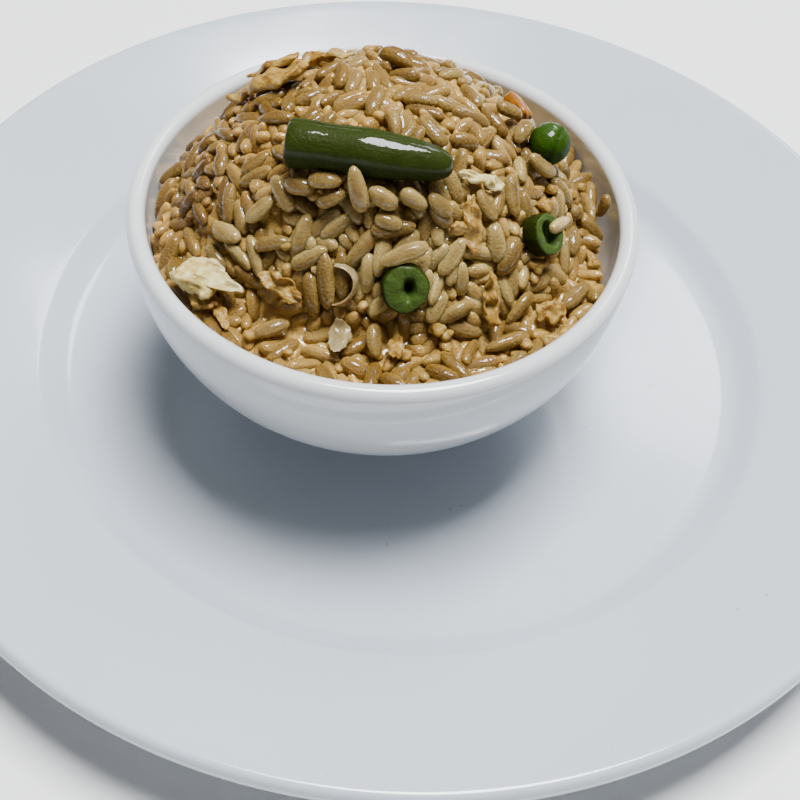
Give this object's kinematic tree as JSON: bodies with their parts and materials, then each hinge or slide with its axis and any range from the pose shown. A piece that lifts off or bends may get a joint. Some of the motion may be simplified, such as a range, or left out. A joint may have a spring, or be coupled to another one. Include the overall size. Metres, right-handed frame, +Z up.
{
  "type": "bowl of fried rice on a plate",
  "caption": "Small white bowl heaped with fried rice, green beans, pea, egg, onion and carrot, standing on a wide-rimmed white plate.",
  "frame": {"origin": "centre of the plate, on the plane that its foot ring stands on", "axes": "+Z up; -Y towards the viewer of the picture, the side on which the heap is cut back; +X to the viewer's right"},
  "size_m": [0.2592, 0.2592, 0.0927],
  "materials": {
    "plate_glaze": "smooth bluish-white glaze with fine scratches",
    "bowl_glaze": "smooth white glaze",
    "fried_rice": "cooked rice, translucent, glossy with oil and stained by soy sauce",
    "green_bean": "cooked green bean with a wet gloss",
    "green_pea": "cooked pea with a wet gloss",
    "cooked_egg": "fried egg, bumpy, golden with browned ridges",
    "egg_white": "cream-white fried egg with fine strands",
    "onion": "fried onion, translucent and glossy",
    "carrot": "cooked carrot with a wet gloss"
  },
  "bodies": {
    "root": {"plate": "plate_glaze", "bowl": "bowl_glaze", "rice_heap": "fried_rice", "stray_grain": "fried_rice", "bean_long": "green_bean", "bean_ring": "green_bean", "bean_side_ring": "green_bean", "pea": "green_pea", "onion_ring": "onion", "onion_flake": "onion", "carrot_bit": "carrot", "egg_chunk": "egg_white", "egg_shred": "egg_white", "egg_corner": "cooked_egg", "egg_fold": "cooked_egg", "egg_back": "cooked_egg", "egg_curl": "cooked_egg", "egg_crease": "cooked_egg", "egg_ridge": "cooked_egg", "egg_nub": "cooked_egg"}
  },
  "joints": []
}
